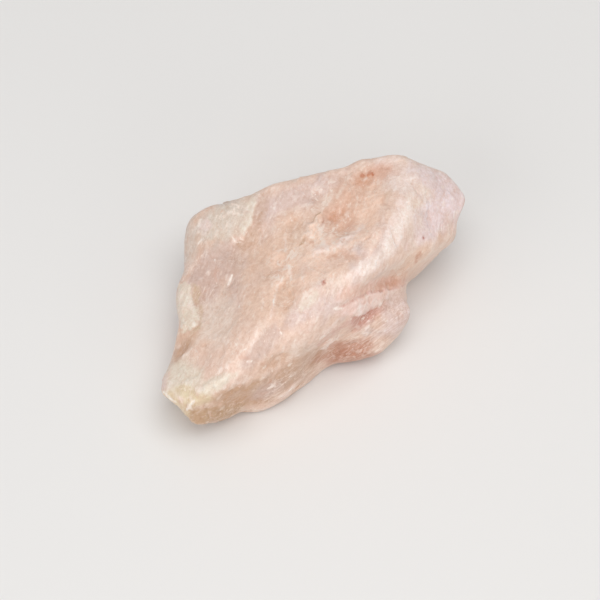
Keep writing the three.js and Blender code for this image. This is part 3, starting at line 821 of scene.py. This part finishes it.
def lay_patches(colour, x, y, mottled):
    for patch in PATCHES:
        within = smoothstep(inside(x, y, patch["corners"]), -patch["fade"], patch["fade"])
        lay(colour, patch["colour"], np.clip(patch["cover"] * mottled * within, 0, 1))


def lay_marks(colour, x, y, mottled):
    for mark in MARKS:
        aside, share = near_line(x, y, mark["along"])
        width = mark["width"] * (MARK_ENDS + (1 - MARK_ENDS) * np.sin(np.pi * share))
        near = 1 - smoothstep(np.abs(aside) / width, *MARK_FADE)
        lay(colour, mark["colour"], np.clip(mark["cover"] * mottled * near, 0, 1))


def colours(mm, x, y, shows, round_the_edge, front, hollow, edge, light):
    """The stone's colour at each point, linear, with painted shade and painted highlights in it."""
    colour = np.tile(from_srgb(PINK), (len(mm), 1))
    for tone in TONES:
        level = tone["side"] * laid_noise(mm, front, tone["noise"])
        lay(colour, tone["colour"], tone["cover"] * smoothstep(level, tone["from"], tone["to"]))
    lay_zones(colour, x, y, laid_noise(mm, front, "borders"), round_the_edge)
    ragged_x, ragged_y = frayed(x, y, mm)
    mottled = MOTTLING_MEAN + sum(m["height"] * noise(mm / m["size"], m["seed"]) for m in MOTTLING)
    lay_patches(colour, ragged_x, ragged_y, shows * mottled)
    mark_x = x + MARK_FRAYING * (ragged_x - x)
    mark_y = y + MARK_FRAYING * (ragged_y - y)
    lay_marks(colour, mark_x, mark_y, shows * mottled)
    wisps = smoothstep(laid_noise(mm, front, "wisps"), WISPS["from"], WISPS["to"])
    lay(colour, WISPS["colour"], WISPS["cover"] * wisps)
    for veil in VEILS:
        light = light + veil["shade"] * grained(mm, front, veil["length"], veil["width"], veil["seed"])
    # Painted shade darkens and warms the hollows; a painted highlight lightens the edges of steps
    light = light - HOLLOW_SHADE * hollow + EDGE_SHADE * edge
    warm = np.maximum(hollow, 0)[:, None] * HOLLOW_SHADE_WARMTH
    return np.clip(colour * light[:, None] ** SHADE_POWERS * (1 - warm), 0, 1)


def add_attribute(mesh, name, values):
    if values.ndim == 2:
        attribute = mesh.color_attributes.new(name, "FLOAT_COLOR", "POINT")
        rgba = np.concatenate([values, np.ones((len(values), 1))], 1)
        attribute.data.foreach_set("color", rgba.astype(np.float32).ravel())
    else:
        attribute = mesh.attributes.new(name, "FLOAT", "POINT")
        attribute.data.foreach_set("value", values.astype(np.float32))


def flakiness(x, y):
    """How strongly the surface is broken up into small flakes at view pixels."""
    flaky = np.zeros(len(x))
    for place in FLAKY:
        flaky = np.maximum(flaky, 1 - smoothstep(ellipse(x, y, place), *FLAKY_FADE))
    return flaky


def make_stone():
    """The stone as a fine mesh with its breaks and colours, and the camera's target and distance."""
    stone = fine_mesh("rose_quartz_chunk")
    mesh = stone.data
    edges = values_of(mesh.edges, "vertices", 2, np.int64)
    points = blurred(values_of(mesh.vertices, "co", 3), edges, SMOOTHINGS)
    write_points(mesh, points)
    target, distance = fitted_target(points)
    x, y = in_view(points, target, distance)
    at_crease = np.exp(-((near_line(x, y, CREASE)[0] / CREASE_REACH) ** 2))
    points += at_crease[:, None] * (blurred(points, edges, CREASE_SMOOTHINGS) - points)
    mm = points / MM
    normals = blurred(values_of(mesh.vertex_normals, "vector", 3), edges, NORMAL_SMOOTHINGS)
    normals /= np.linalg.norm(normals, axis=1)[:, None]
    facing = normals @ TOWARD
    shows = smoothstep(facing, *SHOWS)
    round_the_edge = smoothstep(facing, *ROUND_THE_EDGE)
    front = smoothstep(FRONT_SLOPE * x + y, *FRONT_STARTS)

    rough, light = relief(mm, front, round_the_edge)
    rough *= 1 - CREASE_CALM * shows * at_crease
    detail, edge = details(*frayed(x, y, mm))
    out = (rough + smoothstep(facing, *FACES_THE_VIEW) * detail) * smoothstep(mm[:, 2], *GROUNDED)
    broken = points + normals * out[:, None] * MM
    broken[:, 2] = np.maximum(broken[:, 2], 0)
    write_points(mesh, broken)

    level = blurred(broken, edges, LEVEL_SMOOTHINGS)
    proud = np.einsum("ij,ij->i", broken - level, normals) / MM
    hollow = np.clip(-proud / HOLLOW_DEPTH, -1, 1)
    tint_and_painted_light = colours(mm, x, y, shows, round_the_edge, front, hollow, shows * edge, light)
    add_attribute(mesh, "tint_and_painted_light", tint_and_painted_light)
    add_attribute(mesh, "front", front)
    add_attribute(mesh, "flaky", shows * flakiness(x, y))
    mesh.polygons.foreach_set("use_smooth", np.ones(len(mesh.polygons), bool))
    mesh.update()
    stone.name = "rose_quartz"
    return stone, target, distance


class Nodes:
    """Makes the nodes of one material and links them."""

    def __init__(self, material):
        material.use_nodes = True
        self.tree = material.node_tree
        self.shader = self.tree.nodes["Principled BSDF"]
        self.place = self.tree.nodes.new("ShaderNodeTexCoord").outputs["Object"]
        self.front = self.attribute("front", "Fac")

    def feed(self, socket, value):
        """Links a socket to a node's output, or sets a plain value on it."""
        if isinstance(value, bpy.types.NodeSocket):
            self.tree.links.new(value, socket)
        else:
            socket.default_value = value

    def made(self, kind, **inputs):
        """A new node with some of its inputs, named with _ for a space."""
        node = self.tree.nodes.new(kind)
        for name, value in inputs.items():
            self.feed(node.inputs[name.replace("_", " ")], value)
        return node

    def attribute(self, name, output):
        node = self.made("ShaderNodeAttribute")
        node.attribute_name = name
        return node.outputs[output]

    def blend(self, factor, a, b, kind="FLOAT", how="MIX"):
        node = self.made("ShaderNodeMix")
        node.data_type = kind
        if kind == "RGBA":
            node.blend_type = how
        sockets = [socket for socket in node.inputs if socket.enabled]
        for socket, value in zip(sockets, (factor, a, b)):
            self.feed(socket, value)
        return next(socket for socket in node.outputs if socket.enabled)

    def ranged(self, value, low, high, out_low=0.0, out_high=1.0):
        node = self.made(
            "ShaderNodeMapRange",
            Value=value, From_Min=low, From_Max=high, To_Min=out_low, To_Max=out_high,
        )
        node.interpolation_type = "SMOOTHSTEP"
        return node.outputs["Result"]

    def vector_math(self, operation, a, b):
        node = self.made("ShaderNodeVectorMath")
        node.operation = operation
        self.feed(node.inputs[0], a)
        self.feed(node.inputs[1], b)
        return node.outputs["Value" if operation == "DOT_PRODUCT" else "Vector"]

    def spots(self, name):
        """One of the even textures."""
        look = SPOTS[name]
        return self.made(
            "ShaderNodeTexNoise", Vector=self.place, Scale=look["scale"], Detail=look["detail"],
            Roughness=look["roughness"], Distortion=look["bent"],
        ).outputs["Fac"]

    def set_in(self, name, texture):
        """Where what a texture lays has set in."""
        return self.ranged(texture, *SETS_IN[name])

    def streaks(self, name, turn):
        """One of the textures along the grain, drawn out along a direction in the view's plane."""
        look = GRAINS[name]
        angle = math.radians(turn)
        along = Vector(RIGHT * math.cos(angle) + UP * math.sin(angle))
        toward = Vector(TOWARD)
        axes = Matrix((along, toward.cross(along), toward)).transposed()
        width = look["width"] * MM
        mapping = self.made(
            "ShaderNodeMapping",
            Vector=self.place, Rotation=axes.to_euler(), Scale=(look["length"] * MM, width, width),
        )
        mapping.vector_type = "TEXTURE"
        return self.made(
            "ShaderNodeTexNoise", Vector=mapping.outputs["Vector"], Scale=1.0, Detail=look["detail"],
            Roughness=look["roughness"],
        ).outputs["Fac"]

    def along_grain(self, name):
        """A texture that follows the top's grain and, on the front, the front's."""
        return self.blend(self.front, self.streaks(name, TOP_GRAIN), self.streaks(name, FRONT_GRAIN))

    def small_faces(self):
        """The height of small faces, each tilted its own way, as a share of their size."""
        size = FACE_SIZE * MM
        ruffled = self.made("ShaderNodeTexNoise", Vector=self.place, Scale=FACE_RUFFLES / size)
        pull = self.vector_math("SUBTRACT", ruffled.outputs["Color"], CENTRE)
        step = self.vector_math("DIVIDE", self.place, (size, size, size))
        bent = self.vector_math("ADD", step, pull)
        cells = self.made("ShaderNodeTexVoronoi", Vector=bent, Scale=1.0)
        tilt = self.vector_math("SUBTRACT", cells.outputs["Color"], CENTRE)
        away = self.vector_math("SUBTRACT", bent, cells.outputs["Position"])
        return self.vector_math("DOT_PRODUCT", tilt, away)

    def wisps(self):
        """Thin pale lines along the grain, where a slow texture lets them through."""
        folded = self.made("ShaderNodeMath")
        folded.operation = "PINGPONG"
        self.feed(folded.inputs[0], self.along_grain("lines"))
        self.feed(folded.inputs[1], 0.5)
        spread = self.spots("spread")
        let_through = self.blend(self.front, self.set_in("on_top", spread), self.set_in("on_front", spread))
        return self.blend(let_through, 0.0, self.set_in("lines", folded.outputs["Value"]))

    def shaded(self, colour, value, depth):
        """The colour made lighter or darker by the depth, and warmer where it is darker."""
        node = self.made("ShaderNodeCombineColor")
        for name, power in zip(("Red", "Green", "Blue"), SHADE_POWERS):
            span = depth * float(power)
            self.feed(node.inputs[name], self.ranged(value, *TEXTURE_RANGE, 1 - span, 1 + span))
        return self.blend(1.0, colour, node.outputs["Color"], "RGBA", "MULTIPLY")

    def covered(self, colour, cover, over, most):
        """The colour with another, in sRGB, laid over it."""
        share = self.ranged(cover, 0.0, 1.0, 0.0, most)
        return self.blend(share, colour, (*from_srgb(over), 1), "RGBA")


def quartz_colour(nodes, textures):
    """The colour that the mesh carries, with the finest grain, flecks and flakes laid on it."""
    colour = nodes.attribute("tint_and_painted_light", "Color")
    for name, depth in SHADES.items():
        colour = nodes.shaded(colour, textures[name], depth)
    drawn = nodes.shaded(colour, nodes.streaks("drawn", DRAWN_TURN), DRAWN_SHADE)
    colour = nodes.blend(nodes.front, colour, drawn, "RGBA")
    for name, (over, most) in COVERS.items():
        colour = nodes.covered(colour, textures[name], over, most)
    # A painted rim of light, paler where the surface turns away from the eye
    facing = nodes.made("ShaderNodeLayerWeight", Blend=0.5).outputs["Facing"]
    rim = nodes.ranged(facing, *RIM_LIGHT_FACING, 0.0, RIM_LIGHT_COVER)
    return nodes.blend(rim, colour, (*from_srgb(CREAM), 1), "RGBA")


def quartz_normal(nodes, textures):
    """The normal with every texture's bump, one on the other."""
    normal = None
    for name, distance in BUMPS.items():
        bump = nodes.made(
            "ShaderNodeBump", Strength=1.0, Distance=distance * MM, Height=textures[name]
        )
        if normal is not None:
            nodes.feed(bump.inputs["Normal"], normal)
        normal = bump.outputs["Normal"]
    return normal


def quartz():
    """Waxy, slightly translucent quartz with a fine streaked grain and pale flecks."""
    material = bpy.data.materials.new("rose_quartz")
    nodes = Nodes(material)
    textures = {
        "coarse": nodes.along_grain("coarse"),
        "fine": nodes.along_grain("fine"),
        "grain": nodes.spots("grain"),
        "sugar": nodes.spots("sugar"),
        "faces": nodes.small_faces(),
        "wisps": nodes.wisps(),
        "flecks": nodes.set_in("flecks", nodes.along_grain("flecks")),
    }
    for name in ("milky", "warm"):
        textures[name] = nodes.set_in(name, nodes.spots(name))
    flaky = nodes.attribute("flaky", "Fac")
    for name in ("dark_flakes", "pale_flakes"):
        textures[name] = nodes.blend(flaky, 0.0, nodes.set_in(name, nodes.spots(name)))
    shader = nodes.shader
    nodes.feed(shader.inputs["Base Color"], quartz_colour(nodes, textures))
    nodes.feed(shader.inputs["Roughness"], nodes.ranged(textures["fine"], *ROUGHNESS_RANGE, *ROUGHNESS))
    nodes.feed(shader.inputs["Normal"], quartz_normal(nodes, textures))
    for name, value in GLOSS.items():
        shader.inputs[name].default_value = value
    return material


def make_floor():
    mesh = bpy.data.meshes.new("floor")
    half = FLOOR_HALF
    mesh.from_pydata(
        [(-half, -half, 0), (half, -half, 0), (half, half, 0), (-half, half, 0)], [], [(0, 1, 2, 3)]
    )
    floor = bpy.data.objects.new("floor", mesh)
    bpy.context.scene.collection.objects.link(floor)
    material = bpy.data.materials.new("floor")
    material.use_nodes = True
    shader = material.node_tree.nodes["Principled BSDF"]
    shader.inputs["Base Color"].default_value = FLOOR_COLOUR
    shader.inputs["Roughness"].default_value = FLOOR_ROUGHNESS
    mesh.materials.append(material)


def make_lights():
    """Square soft lights that face the stone, and a pale world."""
    for look in LIGHTS:
        data = bpy.data.lights.new(look["name"], "AREA")
        data.size = look["size"]
        data.energy = look["power"]
        data.color = look["colour"]
        light = bpy.data.objects.new(look["name"], data)
        place = Vector(TOWARD * look["toward"] + UP * look["up"] + RIGHT * look["right"])
        light.location = place
        light.rotation_mode = "QUATERNION"
        light.rotation_quaternion = place.to_track_quat("Z", "Y")
        bpy.context.scene.collection.objects.link(light)
    world = bpy.data.worlds.new("world")
    world.use_nodes = True
    background = world.node_tree.nodes["Background"]
    background.inputs["Color"].default_value = WORLD_COLOUR
    background.inputs["Strength"].default_value = WORLD_STRENGTH
    bpy.context.scene.world = world


def make_camera(target, distance):
    data = bpy.data.cameras.new("camera")
    data.sensor_width = SENSOR
    data.lens = LENS
    data.clip_start, data.clip_end = CLIP
    camera = bpy.data.objects.new("camera", data)
    camera.location = Vector(target + TOWARD * distance)
    camera.rotation_mode = "QUATERNION"
    camera.rotation_quaternion = Vector(TOWARD).to_track_quat("Z", "Y")
    bpy.context.scene.collection.objects.link(camera)
    bpy.context.scene.camera = camera


stone, target, distance = make_stone()
stone.data.materials.clear()
stone.data.materials.append(quartz())
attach(stone, "root")
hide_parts("rose_quartz_chunk")
make_floor()
make_lights()
make_camera(target, distance)
bpy.context.scene.view_settings.view_transform = "Standard"
